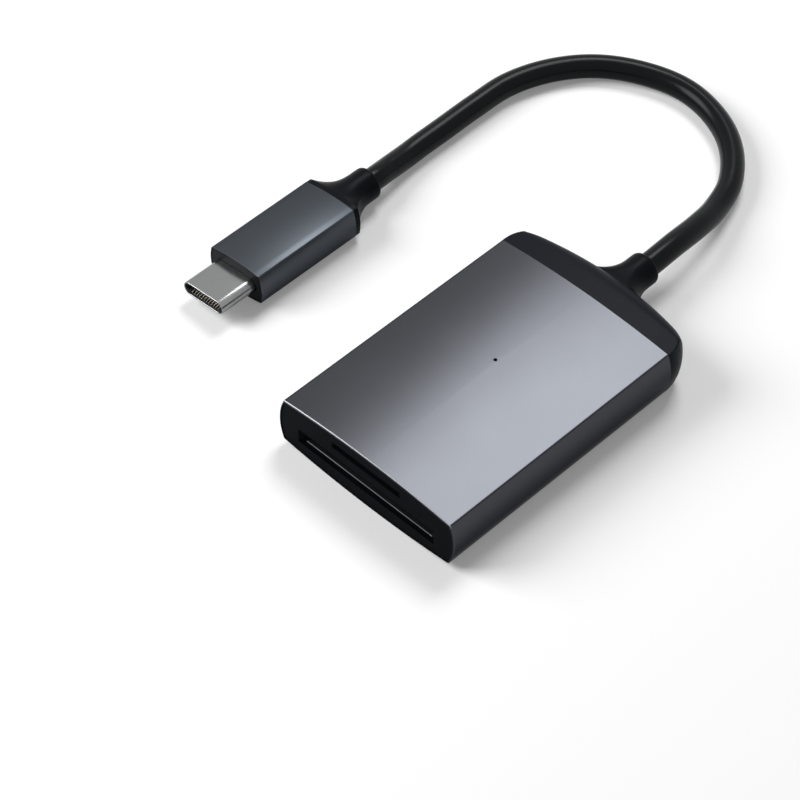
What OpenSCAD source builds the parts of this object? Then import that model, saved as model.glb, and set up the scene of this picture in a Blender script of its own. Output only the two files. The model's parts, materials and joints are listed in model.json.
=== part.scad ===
// A card reader for two sizes of memory card, on a short captive USB-C cable.
// The reader lies on a table with its card slots towards -Y and its cable towards +Y.
// The origin is under the middle of the reader's housing, and +Z is up.

/* [Housing section] */
// Width of the housing across its two bulging sides
body_w = 33.8; // [33:0.1:37]
// Height of the housing between its two crowned faces
body_h = 9.8; // [9.4:0.1:11]
// Rise of the top and bottom faces above the long edges
body_crown = 0.9; // [0.6:0.05:1.1]
// Bulge of each side face past the long edges
body_bulge = 0.9; // [0.6:0.05:1.1]
// Rounding of the long edges
edge_r = 0.3; // [0.2:0.05:0.5]

/* [Housing shell] */
// Length of the extruded aluminium shell
shell_l = 44.7; // [42:0.1:60]
// Wall of the aluminium shell
shell_wall = 1; // [0.7:0.05:1.2]
// Bright cut chamfer round the front rim of the shell
rim_chamfer = 0.2; // [0.1:0.05:0.3]
// Flat width of the rim between its chamfer and the bezel
rim_flat = 0.1; // [0.05:0.05:0.3]
// Diameter of the pinhole over the status light
pinhole_d = 0.6; // [0.5:0.05:1]
// Distance of the pinhole from the front of the housing
pinhole_back = 26; // [24:0.1:28]

/* [Front bezel] */
// Thickness of the front bezel
bezel_t = 0.8; // [0.6:0.05:1.6]
// Depth at which the bezel sits behind the rim of the shell
bezel_recess = 0.1; // [0.05:0.05:0.3]
// Spread of each slot's ends at the face of the bezel
slot_flare = 0.9; // [0.4:0.1:1.1]

/* [Rear cap] */
// Length of the rear cap that shows behind the shell
cap_l = 7.6; // [7:0.1:10]
// Flat length of the cap before its crest
cap_flat = 3.2; // [2.4:0.1:3.6]
// Wall of the tongue that enters the shell
tongue_wall = 0.8; // [0.6:0.05:1]
// Length of the tongue that enters the shell
tongue_l = 2.4; // [1.5:0.1:3]
// Radius of the back edge seen from above
cap_back_r = 52; // [45:1:90]
// Radius of the two back corners seen from above
cap_corner_r = 6; // [5:0.1:7]

/* [Card sockets] */
// Width of the channel for the large card
sd_w = 24.4; // [24.2:0.1:24.8]
// Height of the channel for the large card
sd_h = 2.3; // [2.2:0.05:2.4]
// Depth of the socket for the large card
sd_l = 28; // [24:0.1:29]
// Width of the channel for the small card
micro_w = 11.4; // [11.2:0.1:12]
// Height of the channel for the small card
micro_h = 1.1; // [0.9:0.05:1.2]
// Depth of the socket for the small card
micro_l = 14.6; // [13:0.1:16]

/* [Circuit board] */
// Thickness of the circuit board
board_t = 0.8; // [0.6:0.1:0.8]
// Width of the circuit board
board_w = 28.8; // [28.4:0.1:29]
// Height of the board's underside above the table
board_z = 5.6; // [5.5:0.05:5.8]
// Side of the square controller chip
chip_side = 7; // [5:0.5:8]

/* [Cable] */
// Diameter of the cable jacket
cable_d = 3.8; // [3.2:0.05:4]
// Diameter of the moulded collars round the cable's ends
collar_d = 5.3; // [5:0.1:5.6]
// Distance from the back of the shell to the end of the reader's collar
relief_reach = 13.9; // [13:0.1:18]
// Diameter of each insulated wire inside the housing
wire_d = 0.8; // [0.6:0.05:0.9]

/* [Plug] */
// Width of the plug sleeve across its bulging sides
plug_w = 10.8; // [9.8:0.1:11.4]
// Height of the plug sleeve between its crowned faces
plug_h = 6; // [5.6:0.1:6.4]
// Rise of the plug's top and bottom faces above its long edges
plug_crown = 0.4; // [0.2:0.05:0.6]
// Bulge of each side of the plug past its long edges
plug_bulge = 0.45; // [0.2:0.05:0.6]
// Lean of the plug on its crowned underside, in degrees
plug_lean = 5.5; // [0:0.5:7]
// Length of the aluminium plug sleeve
sleeve_l = 19.5; // [18:0.1:24]
// Wall of the plug sleeve
sleeve_wall = 0.55; // [0.4:0.05:0.7]
// Width of the sleeve's rim round its front insert
sleeve_rim = 0.2; // [0.15:0.05:0.3]
// Length of the moulded boot behind the sleeve
boot_l = 8.3; // [8:0.1:12]
// Length of the steel shell in front of the sleeve
usb_reach = 6.65; // [6.4:0.05:7]

/* [Hidden] */

// Steps round the long shallow arcs and round the small details
ARC_STEPS = 720;
SIDE_STEPS = 180;
ROUND_STEPS = 48;
// Length by which a cut reaches past the face that it opens
PAST = 1;
// Fit between pieces that slide together
FIT = 0.05;
// Bite of an edge rounding into the faces that it joins
EDGE_BITE = 0.005;
// Sides of a swept tube and of a moulded flare, and steps along their curves
TUBE_SIDES = 8;
LOFT_SIDES = 32;
FLARE_STEPS = 8;
CREST_STEPS = 8;
// Bend of a concave flare, from 0 for a straight cone to 1 for a quarter circle
FLARE_BEND = 0.75;

// Sections of the housing and of the plug
BODY = pillow(body_w, body_h, body_crown, body_bulge);
PLUG = pillow(plug_w, plug_h, plug_crown, plug_bulge);

// Places along the housing
body_l = shell_l + cap_l;
front_y = -body_l / 2;
joint_y = front_y + shell_l;
mid_z = body_h / 2;
rim_w = rim_chamfer + rim_flat;
inner_inset = shell_wall + FIT;
pinhole_y = front_y + pinhole_back;

// Sockets on the two faces of the board, behind the bezel
socket_y = front_y + bezel_recess + bezel_t;
socket_wall = 1.2;
sd_ceiling = 0.4;
sd_cover_t = 0.2;
sd_lip_d = 0.25;
micro_floor = 0.3;
micro_cover_t = 0.15;
board_top = board_z + board_t;
sd_top_z = board_z - sd_ceiling;
sd_floor_z = sd_top_z - sd_h;
micro_floor_z = board_top + micro_floor;
micro_top_z = micro_floor_z + micro_h;
sd_base_w = sd_w + 2 * socket_wall;
micro_base_w = micro_w + 2 * socket_wall;
sd_end_y = socket_y + sd_l;
micro_end_y = socket_y + micro_l;
spring_t = 0.12;
sd_root_l = 1.4;
micro_root_l = 1.2;
cover_side = 1.6;

// Tray that carries the board, and the pegs that line it up with the bezel
tray_end_y = joint_y - tongue_l - FIT;
tray_top_z = sd_floor_z - sd_cover_t - FIT;
rail_x = sd_base_w / 2 + sd_cover_t + FIT;
board_end_y = tray_end_y - 0.3;
peg_d = 0.8;
peg_l = 1.2;
peg_x = rail_x + 0.7;
peg_z = (tray_top_z + board_z) / 2;
// Parts on the upper face of the board: the wire pads at its end, then the chip
wire_pad_l = 2.6;
chip_gap = 2.2;
chip_y = board_end_y - wire_pad_l - chip_gap - chip_side / 2;
side_x = board_w / 6;
side_gap = 5;
inductor_x = board_w / 3;
capacitor_y = micro_end_y + 2.4;
led_h = 0.6;

// Pocket in the cap, and the flange of the moulded relief that it traps
pocket_end_y = joint_y + cap_l - 2.8;
flange_t = 1.2;
flange_y = pocket_end_y - flange_t;
root_w = 10.2;
root_h = collar_d + 0.5;
flange_w = root_w + 2.6;
flange_h = root_h + 1;
pocket_w = flange_w + 2;
pocket_h = flange_h + 2 * FIT;
exit_y = joint_y + relief_reach;

// Plug at the far end of the cable, resting on its crowned underside.
// Its places along Y start at the front of the sleeve.
plug_mid_z = PLUG[2] - (PLUG[2] - PLUG[1]) * cos(plug_lean);
usb_w = 8.25;
usb_h = 2.4;
usb_wall = 0.2;
usb_tail = 5;
mouth_w = 6.9;
mouth_h = 0.9;
mouth_l = 5.4;
contact_pitch = 0.5;
plug_board_t = 0.8;
plug_board_l = 8;
plug_board_w = 7.6;
board_grip = 1;
contact_w = 0.25;
groove_z = 0.58;
groove_h = 0.5;
tip_recess = 0.25;
latch_x = 3.6;
latch_t = 0.2;
latch_h = 0.6;
insert_recess = 0.05;
insert_t = 1.5;
insert_end = insert_recess + insert_t;
sleeve_edge_r = 0.15;
plug_board_end = usb_tail + plug_board_l;
boot_end = sleeve_l + boot_l;

// Route of the cable's middle line: x and y from where it leaves the collar, z from the table
lie_z = cable_d / 2;
ROUTE = [
    [0, 0, mid_z],
    [-0.3, 6.6, 4.7],
    [-1, 12.6, 3.6],
    [-2.3, 18.6, 2.3],
    [-4.7, 25, lie_z],
    [-9.6, 30.8, lie_z],
    [-15.8, 34.3, lie_z],
    [-23, 35.5, lie_z],
    [-30.2, 33.6, lie_z],
    [-36.3, 29.6, lie_z],
    [-40.6, 23.8, lie_z],
    [-43, 16.8, lie_z],
    [-43.3, 9.4, lie_z],
    [-43.2, 2, lie_z],
    [-43.1, -4.6, lie_z],
    [-42.6, -10.3, 2.5],
    [-42.1, -14.9, plug_mid_z]
];
route_end = ROUTE[len(ROUTE) - 1];
plug_x = route_end[0];
sleeve_front_y = exit_y + route_end[1] - boot_end;

// Radius of an arc from half its chord and its rise
function arc_radius(half_chord, rise) = (half_chord * half_chord + rise * rise) / (2 * rise);
// Place of copy i in a centred row of count copies, one pitch apart
function row_place(i, count, pitch) = (i - (count - 1) / 2) * pitch;

// A section with four convex sides, held as
// [half width, half height, radius of top and bottom, radius of the two sides]
function pillow(w, h, crown, bulge) = [
    w / 2,
    h / 2,
    arc_radius(w / 2 - bulge, crown),
    arc_radius(h / 2 - crown, bulge)
];

// Reach from the middle to a circle of radius r whose centre lies at c on an axis,
// in a direction that has the share k of that axis
function circle_reach(c, r, k) = k * c + sqrt(k * k * c * c + r * r - c * c);
// Reach of a pillow section from its middle, at angle a
function pillow_reach(p, a) = min(
    circle_reach(p[1] - p[2], p[2], abs(sin(a))),
    circle_reach(p[0] - p[3], p[3], abs(cos(a)))
);
// Reach of a slot shape with round ends from its middle, at angle a
function slot_reach(half_w, half_h, a) =
    let (flat = half_w - half_h)
    half_h * abs(cos(a)) < flat * abs(sin(a))
        ? half_h / abs(sin(a))
        : circle_reach(flat, half_h, abs(cos(a)));
// Half height of a pillow section at x from its middle
function pillow_half(p, x) = min(
    p[1] - p[2] + sqrt(p[2] * p[2] - x * x),
    sqrt(max(0, p[3] * p[3] - pow(max(0, abs(x) - p[0] + p[3]), 2)))
);
// Middle of the rounding that fits into the upper right corner of a pillow section
function corner_middle(p, r) =
    let (
        drop = p[2] - p[1],
        shift = p[0] - p[3],
        gap = norm([drop, shift]),
        r1 = p[2] - r,
        r2 = p[3] - r,
        along = (r1 * r1 - r2 * r2 + gap * gap) / (2 * gap),
        aside = sqrt(r1 * r1 - along * along)
    )
    [(along * shift + aside * drop) / gap, (along * drop - aside * shift) / gap - drop];
// Share of its full spread that a concave flare has at u, from 0 at the collar to 1 at the root
function flare(u) =
    (1 - sqrt(1 - pow(FLARE_BEND * u, 2))) / (1 - sqrt(1 - pow(FLARE_BEND, 2)));
function unit(v) = v / norm(v);

// Draws its children in the XZ plane and runs them along Y from y0 to y1
module along_y(y0, y1) {
    translate([0, y1, 0])
        rotate([90, 0, 0])
            linear_extrude(height = y1 - y0)
                children();
}

// Draws its children in the YZ plane and runs them along X, w wide about x
module along_x(x, w) {
    translate([x - w / 2, 0, 0])
        rotate([90, 0, 90])
            linear_extrude(height = w)
                children();
}

// A block between two corners
module block(low, high) {
    translate(low)
        cube(high - low);
}

// A round bar along Y
module bar(x, z, y0, y1, d) {
    translate([x, y0, z])
        rotate([-90, 0, 0])
            cylinder(d = d, h = y1 - y0, $fn = ROUND_STEPS);
}

// Closed solid through rings that each have the same count of points
module loft(rings) {
    n = len(rings[0]);
    last = len(rings) - 1;
    polyhedron(
        points = [for (ring = rings) each ring],
        faces = [
            [for (i = [n - 1 : -1 : 0]) i],
            for (k = [0 : last - 1], i = [0 : n - 1]) each [
                [k * n + i, k * n + (i + 1) % n, (k + 1) * n + i],
                [k * n + (i + 1) % n, (k + 1) * n + (i + 1) % n, (k + 1) * n + i]
            ],
            [for (i = [0 : n - 1]) last * n + i]
        ]
    );
}

// Ring of a tube round point c, square to direction dir
function tube_ring(c, dir, d) =
    let (aside = unit(cross(dir, [0, 0, 1])), up = cross(aside, dir))
    [for (i = [0 : TUBE_SIDES - 1])
        c + d / 2 * (cos(i * 360 / TUBE_SIDES) * aside + sin(i * 360 / TUBE_SIDES) * up)];
// Direction of a path at its point i; it starts along first and ends along final
function path_dir(path, i, first, final) =
    i == 0 ? first
    : i == len(path) - 1 ? final
    : unit(unit(path[i + 1] - path[i]) + unit(path[i] - path[i - 1]));
// A tube swept along a path
module tube(path, d, first, final) {
    loft([for (i = [0 : len(path) - 1]) tube_ring(path[i], path_dir(path, i, first, final), d)]);
}

// Half of a pillow section's plane that its right side arc bounds
module side_bound(p, inset) {
    r = p[3] - inset;
    middle = p[0] - p[3];
    translate([middle, 0])
        circle(r = r, $fn = SIDE_STEPS);
    translate([-p[0] - PAST, -r])
        square([middle + p[0] + PAST, 2 * r]);
}

// Pillow section moved in from its outline by inset
module pillow_outline(p, inset = 0) {
    intersection() {
        translate([0, p[1] - p[2]])
            circle(r = p[2] - inset, $fn = ARC_STEPS);
        translate([0, p[2] - p[1]])
            circle(r = p[2] - inset, $fn = ARC_STEPS);
        side_bound(p, inset);
        mirror([1, 0])
            side_bound(p, inset);
    }
}

// What a rounding of radius r takes off the upper right corner of a pillow section.
// It bites a hair into the two arcs, so that it crosses them and never only touches.
module corner_cut(p, r) {
    reach = r - EDGE_BITE;
    middle = corner_middle(p, reach);
    top = [0, p[1] - p[2]];
    side = [p[0] - p[3], 0];
    touch_top = top + (middle - top) * p[2] / (p[2] - reach);
    touch_side = side + (middle - side) * p[3] / (p[3] - reach);
    difference() {
        polygon([middle, touch_top, [touch_side[0] + r, touch_top[1] + r], touch_side]);
        translate(middle)
            circle(r = r, $fn = ROUND_STEPS);
    }
}

// Pillow section with its four corners rounded
module rounded_outline(p, r) {
    difference() {
        pillow_outline(p);
        for (flip_x = [0, 1], flip_z = [0, 1])
            mirror([flip_x, 0])
                mirror([0, flip_z])
                    corner_cut(p, r);
    }
}

// The housing's own section, moved in by inset
module body_outline(inset = 0) {
    translate([0, mid_z])
        pillow_outline(BODY, inset);
}

// Puts its children where the plug lies, from a place round the front of its sleeve
module place_plug() {
    translate([plug_x, sleeve_front_y, plug_mid_z])
        rotate([0, -plug_lean, 0])
            children();
}

// Slot shape with round ends
module slot_outline(w, h) {
    square([w - h, h], center = true);
    for (side = [-1, 1])
        translate([side * (w - h) / 2, 0])
            circle(d = h, $fn = ROUND_STEPS);
}

// Cone round a shallow arc of the section; the shell's rim is cut back to it
module rim_cone(x, z, r, length) {
    translate([x, front_y - PAST, z])
        rotate([-90, 0, 0])
            cylinder(
                r1 = r - rim_chamfer - PAST,
                r2 = r - rim_chamfer + length,
                h = length + PAST,
                $fn = ARC_STEPS
            );
}

// What the chamfer takes off the shell's rim along its right side
module rim_side_cut() {
    middle = BODY[0] - BODY[3];
    difference() {
        block([middle, front_y - PAST, 0], [BODY[0] + PAST, front_y + PAST, body_h]);
        rim_cone(middle, mid_z, BODY[3], PAST);
    }
}

module aluminium_shell() {
    color("slategray")
        difference() {
            intersection() {
                along_y(front_y, joint_y)
                    translate([0, mid_z])
                        rounded_outline(BODY, edge_r);
                rim_cone(0, body_h - BODY[2], BODY[2], shell_l + PAST);
                rim_cone(0, BODY[2], BODY[2], shell_l + PAST);
            }
            rim_side_cut();
            mirror([1, 0, 0])
                rim_side_cut();
            along_y(front_y - PAST, joint_y + PAST)
                body_outline(shell_wall);
            along_y(front_y - PAST, socket_y)
                body_outline(rim_w);
            translate([0, pinhole_y, mid_z])
                cylinder(d = pinhole_d, h = body_h, $fn = ROUND_STEPS);
        }
}

// Opening of a card slot through the bezel, with ends that spread towards the face
module slot_mouth(w, z0, z1) {
    face_y = front_y + bezel_recess;
    wide = w / 2 + slot_flare;
    translate([0, 0, z0])
        linear_extrude(height = z1 - z0)
            polygon([
                [-wide, face_y - PAST], [wide, face_y - PAST],
                [wide, face_y], [w / 2, socket_y],
                [w / 2, socket_y + PAST], [-w / 2, socket_y + PAST],
                [-w / 2, socket_y], [-wide, face_y]
            ]);
}

module front_bezel() {
    color([0.11, 0.12, 0.14]) {
        difference() {
            along_y(front_y + bezel_recess, socket_y)
                body_outline(rim_w + FIT);
            slot_mouth(sd_w, sd_floor_z - sd_lip_d - FIT, sd_top_z);
            slot_mouth(micro_w, micro_floor_z, micro_top_z);
        }
        for (side = [-1, 1])
            bar(side * peg_x, peg_z, socket_y - bezel_t / 2, socket_y + peg_l, peg_d);
    }
}

// Back edge of the cap seen from above, as a distance from the shell's end
corner_x = body_w / 2 - cap_corner_r;
corner_y = cap_l - cap_back_r
    + sqrt(pow(cap_back_r - cap_corner_r, 2) - corner_x * corner_x);
corner_start_x = corner_x * cap_back_r / (cap_back_r - cap_corner_r);
function cap_back(x) = x < corner_start_x
    ? cap_l - cap_back_r + sqrt(cap_back_r * cap_back_r - x * x)
    : corner_y + sqrt(max(0, pow(cap_corner_r, 2) - pow(x - corner_x, 2)));
// Crest where the flat top of the cap starts to fall, as a distance from the shell's end
function cap_crest(x) = x < corner_x
    ? cap_flat
    : max(0, min(cap_flat, corner_y
        + sqrt(max(0, pow(cap_corner_r - body_bulge, 2) - pow(x - corner_x, 2)))));
// Stations across half the cap: over the flat top, then round the bulging side
cap_stations = concat(
    [for (share = [0, 0.25, 0.5, 0.7, 0.82, 0.9, 0.95, 0.98, 1])
        share * (BODY[0] - body_bulge)],
    [for (share = [0.75, 0.5, 0.25, 0])
        BODY[0] - BODY[3] + sqrt(pow(BODY[3], 2) - pow(share * (BODY[1] - body_crown), 2))]
);
// Side profile of the cap at one station, from the shell's end round to the back edge
function cap_profile(x, flip) =
    let (
        half_h = pillow_half(BODY, x),
        crest = cap_crest(x),
        fall = cap_back(x) - crest
    )
    [for (side = [-1, 1]) each concat(
        [[flip * x, joint_y, mid_z + side * half_h]],
        [for (a = [0 : 90 / CREST_STEPS : 90])
            [flip * x, joint_y + crest + fall * sin(a), mid_z + side * half_h * cos(a)]]
    )];

// Outer form of the cap: a flat top, a soft crest and a back rounded both ways
module cap_form() {
    points = [for (x = cap_stations, flip = [-1, 1]) each cap_profile(x, flip)];
    hull()
        polyhedron(points = points, faces = [[for (i = [0 : len(points) - 1]) i]]);
}

module rear_cap() {
    color([0.13, 0.14, 0.16])
        difference() {
            union() {
                cap_form();
                along_y(joint_y - tongue_l, joint_y + cap_flat / 2)
                    body_outline(inner_inset);
            }
            along_y(joint_y - tongue_l - PAST, joint_y + cap_flat)
                body_outline(inner_inset + tongue_wall);
            block(
                [-pocket_w / 2, joint_y, mid_z - pocket_h / 2],
                [pocket_w / 2, pocket_end_y, mid_z + pocket_h / 2]
            );
            along_y(joint_y, joint_y + cap_l + PAST)
                translate([0, mid_z])
                    slot_outline(root_w + 2 * FIT, root_h + 2 * FIT);
        }
}

module board_carrier() {
    window_w = 16;
    window_l = 9;
    color([0.2, 0.2, 0.22])
        difference() {
            along_y(socket_y, tray_end_y)
                difference() {
                    intersection() {
                        body_outline(inner_inset);
                        union() {
                            translate([-BODY[0], 0])
                                square([body_w, tray_top_z]);
                            for (x = [-BODY[0], rail_x])
                                translate([x, 0])
                                    square([BODY[0] - rail_x, body_h]);
                        }
                    }
                    translate([-board_w / 2 - FIT, board_z - FIT])
                        square([board_w + 2 * FIT, board_t + 2 * FIT]);
                }
            for (side = [-1, 1])
                bar(side * peg_x, peg_z, socket_y - PAST, socket_y + peg_l + FIT, peg_d + 2 * FIT);
            for (share = [0.2, 0.5, 0.8])
                translate([0, socket_y + share * (tray_end_y - socket_y), 0])
                    block(
                        [-window_w / 2, -window_l / 2, -PAST],
                        [window_w / 2, window_l / 2, tray_top_z + PAST]
                    );
        }
}

module circuit_board() {
    color("darkgreen")
        block([-board_w / 2, socket_y, board_z], [board_w / 2, board_end_y, board_top]);
}

// Rows of contacts under the large card: how many, and how far ahead of the end wall
SD_ROWS = [[9, 1.8], [8, 11]];
sd_pitch = 2.5;
sd_contact_w = 1;
sd_spring_l = 6;
end_wall = 1.6;

// Root line of one row of springs
function sd_root_y(row) = sd_end_y - end_wall - row[1];

module sd_socket_base() {
    color([0.16, 0.16, 0.17])
        difference() {
            block(
                [-sd_base_w / 2, socket_y, sd_floor_z],
                [sd_base_w / 2, sd_end_y, board_z]
            );
            block(
                [-sd_w / 2, socket_y - PAST, sd_floor_z - PAST],
                [sd_w / 2, sd_end_y - end_wall, sd_top_z]
            );
            for (row = SD_ROWS, i = [0 : row[0] - 1])
                translate([row_place(i, row[0], sd_pitch), sd_root_y(row), 0])
                    block(
                        [-sd_contact_w / 2 - 2 * FIT, -sd_spring_l - 4 * FIT, sd_top_z - PAST],
                        [sd_contact_w / 2 + 2 * FIT, sd_root_l + 4 * FIT, board_z + PAST]
                    );
        }
}

module sd_contacts() {
    rise = 0.35;
    bend = 1;
    t = spring_t;
    color("gold")
        for (row = SD_ROWS, i = [0 : row[0] - 1])
            along_x(row_place(i, row[0], sd_pitch), sd_contact_w)
                translate([sd_root_y(row), board_z])
                    polygon([
                        [sd_root_l, 0], [0, 0],
                        [bend - sd_spring_l, t - sd_ceiling - rise],
                        [-sd_spring_l, t - sd_ceiling],
                        [-sd_spring_l, -sd_ceiling],
                        [bend - sd_spring_l, -sd_ceiling - rise],
                        [0, -t], [sd_root_l, -t]
                    ]);
}

// Folded steel cover with two side walls; it opens upwards in the XZ plane
module cover_outline(w, h, t) {
    difference() {
        translate([-w / 2 - t, -t])
            square([w + 2 * t, h + t]);
        translate([-w / 2, 0])
            square([w, h + PAST]);
    }
}

// Front half of the rolled lip over which a large card slides, as the cover's front edge
module sd_lip() {
    translate([socket_y, sd_floor_z - sd_lip_d / 2])
        intersection() {
            circle(d = sd_lip_d, $fn = ROUND_STEPS);
            translate([-sd_lip_d, -sd_lip_d])
                square([sd_lip_d, 2 * sd_lip_d]);
        }
}

module sd_socket_cover() {
    slot_w = 3;
    slot_l = 9;
    color("silver") {
        difference() {
            along_y(socket_y, sd_end_y)
                translate([0, sd_floor_z])
                    cover_outline(sd_base_w, cover_side, sd_cover_t);
            for (side = [-1, 1])
                translate([side * sd_w / 4, socket_y + sd_l / 2, sd_floor_z])
                    block([-slot_w / 2, -slot_l / 2, -PAST], [slot_w / 2, slot_l / 2, PAST]);
        }
        along_x(0, sd_w - 2 * FIT)
            sd_lip();
    }
}

micro_count = 8;
micro_pitch = 1.1;
micro_contact_w = 0.6;
micro_spring_l = 4.5;
micro_root_y = micro_end_y - end_wall - 1.6;

module microsd_socket_base() {
    color([0.16, 0.16, 0.17])
        difference() {
            block(
                [-micro_base_w / 2, socket_y, board_top],
                [micro_base_w / 2, micro_end_y, micro_top_z]
            );
            block(
                [-micro_w / 2, socket_y - PAST, micro_floor_z],
                [micro_w / 2, micro_end_y - end_wall, micro_top_z + PAST]
            );
            for (i = [0 : micro_count - 1])
                translate([row_place(i, micro_count, micro_pitch), micro_root_y, 0])
                    block(
                        [-micro_contact_w / 2 - 2 * FIT, -micro_spring_l - 4 * FIT, board_top - PAST],
                        [micro_contact_w / 2 + 2 * FIT, micro_root_l + 4 * FIT, micro_floor_z + PAST]
                    );
        }
}

module microsd_contacts() {
    rise = 0.3;
    bend = 0.8;
    t = spring_t;
    color("gold")
        for (i = [0 : micro_count - 1])
            along_x(row_place(i, micro_count, micro_pitch), micro_contact_w)
                translate([micro_root_y, board_top])
                    polygon([
                        [micro_root_l, 0], [0, 0],
                        [bend - micro_spring_l, micro_floor + rise - t],
                        [-micro_spring_l, micro_floor - t],
                        [-micro_spring_l, micro_floor],
                        [bend - micro_spring_l, micro_floor + rise],
                        [0, t], [micro_root_l, t]
                    ]);
}

module microsd_socket_cover() {
    slot_w = 2;
    slot_l = 5;
    color("silver")
        difference() {
            along_y(socket_y, micro_end_y)
                translate([0, micro_top_z])
                    mirror([0, 1])
                        cover_outline(micro_base_w, micro_h, micro_cover_t);
            for (side = [-1, 1])
                translate([side * micro_w / 4, socket_y + micro_l / 2, micro_top_z])
                    block([-slot_w / 2, -slot_l / 2, -PAST], [slot_w / 2, slot_l / 2, PAST]);
        }
}

module controller_chip() {
    chip_t = 0.85;
    mark_d = 0.8;
    mark_depth = 0.1;
    color([0.1, 0.1, 0.1])
        translate([-chip_side / 2 - 1, chip_y, board_top])
            difference() {
                block([-chip_side / 2, -chip_side / 2, 0], [chip_side / 2, chip_side / 2, chip_t]);
                translate([mark_d - chip_side / 2, mark_d - chip_side / 2, chip_t - mark_depth])
                    cylinder(d = mark_d, h = chip_t, $fn = ROUND_STEPS);
            }
}

module crystal() {
    base = [3.2, 2.5, 0.3];
    lid = [2.8, 2.1, 0.7];
    color("silver")
        translate([side_x, chip_y + side_gap / 2, board_top]) {
            block([-base[0] / 2, -base[1] / 2, 0], [base[0] / 2, base[1] / 2, base[2]]);
            block([-lid[0] / 2, -lid[1] / 2, 0], [lid[0] / 2, lid[1] / 2, lid[2]]);
        }
}

module voltage_regulator() {
    case_size = [2.9, 1.6, 1.1];
    lift = 0.1;
    leg = [0.4, 0.6, 0.15];
    leg_pitch = 0.95;
    color([0.12, 0.12, 0.12])
        translate([side_x, chip_y - side_gap / 2, board_top]) {
            block(
                [-case_size[0] / 2, -case_size[1] / 2, lift],
                [case_size[0] / 2, case_size[1] / 2, case_size[2]]
            );
            for (side = [-1, 1], i = [-1, 0, 1])
                if (side == 1 || i != 0)
                    translate([i * leg_pitch, side * (case_size[1] / 2 + leg[1] / 4), 0])
                        block([-leg[0] / 2, -leg[1] / 2, 0], [leg[0] / 2, leg[1] / 2, leg[2]]);
        }
}

module power_inductor() {
    plate = [4, 4, 0.4];
    core_d = 3.4;
    coil_h = 1.3;
    color([0.25, 0.25, 0.27])
        translate([inductor_x, chip_y, board_top]) {
            for (z = [0, coil_h - plate[2]])
                block([-plate[0] / 2, -plate[1] / 2, z], [plate[0] / 2, plate[1] / 2, z + plate[2]]);
            cylinder(d = core_d, h = coil_h, $fn = ROUND_STEPS);
        }
}

module chip_capacitors() {
    body = [1.6, 0.8, 0.8];
    cap_end = [0.3, 0.86, 0.83];
    count = 7;
    pitch = board_w / (count + 1);
    row_pitch = 2;
    color("tan")
        for (i = [0 : count - 1], row = [0, 1])
            if (row == 0 || abs(i - 3) > 1)
                translate([row_place(i, count, pitch), capacitor_y + row * row_pitch, board_top]) {
                    block([-body[0] / 2, -body[1] / 2, 0], [body[0] / 2, body[1] / 2, body[2]]);
                    for (side = [-1, 1])
                        translate([side * (body[0] - cap_end[0]) / 2, 0, 0])
                            block(
                                [-cap_end[0] / 2, -cap_end[1] / 2, 0],
                                [cap_end[0] / 2, cap_end[1] / 2, cap_end[2]]
                            );
                }
}

module status_led() {
    body = [1.6, 0.8, 0.3];
    lens = [1, 0.8, led_h];
    color("ivory")
        translate([0, pinhole_y, board_top]) {
            block([-body[0] / 2, -body[1] / 2, 0], [body[0] / 2, body[1] / 2, body[2]]);
            block([-lens[0] / 2, -lens[1] / 2, 0], [lens[0] / 2, lens[1] / 2, lens[2]]);
        }
}

module light_pipe() {
    stem_d = 1.6;
    flange_d = 2.4;
    pad_t = 0.5;
    wall_z = body_h - shell_wall - FIT;
    color("white")
        translate([0, pinhole_y, 0]) {
            translate([0, 0, board_top + led_h + FIT])
                cylinder(d = stem_d, h = wall_z - board_top - led_h - FIT, $fn = ROUND_STEPS);
            translate([0, 0, wall_z - pad_t])
                cylinder(d = flange_d, h = pad_t, $fn = ROUND_STEPS);
            translate([0, 0, wall_z - pad_t])
                cylinder(d = pinhole_d - 2 * FIT, h = pad_t + shell_wall / 2, $fn = ROUND_STEPS);
        }
}

module cable_wires() {
    board_pitch = 1.6;
    flange_pitch = 1;
    colours = ["red", "green", "white", "black", "gold"];
    count = len(colours);
    rest_z = board_top + wire_d / 2;
    for (i = [0 : count - 1])
        let (x0 = row_place(i, count, board_pitch), x1 = row_place(i, count, flange_pitch))
            color(colours[i])
                tube(
                    [
                        [x0, board_end_y - wire_pad_l, rest_z],
                        [x0, board_end_y + FIT, rest_z],
                        [x1, (board_end_y + flange_y) / 2, (rest_z + mid_z) / 2],
                        [x1, flange_y - wire_d, mid_z],
                        [x1, flange_y, mid_z]
                    ],
                    wire_d, [0, 1, 0], [0, 1, 0]
                );
}

// Slot-shaped ring of a moulded relief at y
function slot_ring(y, w, h) = [
    for (i = [0 : LOFT_SIDES - 1])
        let (a = i * 360 / LOFT_SIDES, r = slot_reach(w / 2, h / 2, a))
        [r * cos(a), y, mid_z + r * sin(a)]
];
// Places and diameters that round off the free end of a collar
function collar_tip(end_y) = [
    [end_y - 2.2, collar_d],
    [end_y - 0.6, collar_d],
    [end_y - 0.2, collar_d - 0.3],
    [end_y, collar_d - 0.9]
];

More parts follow.
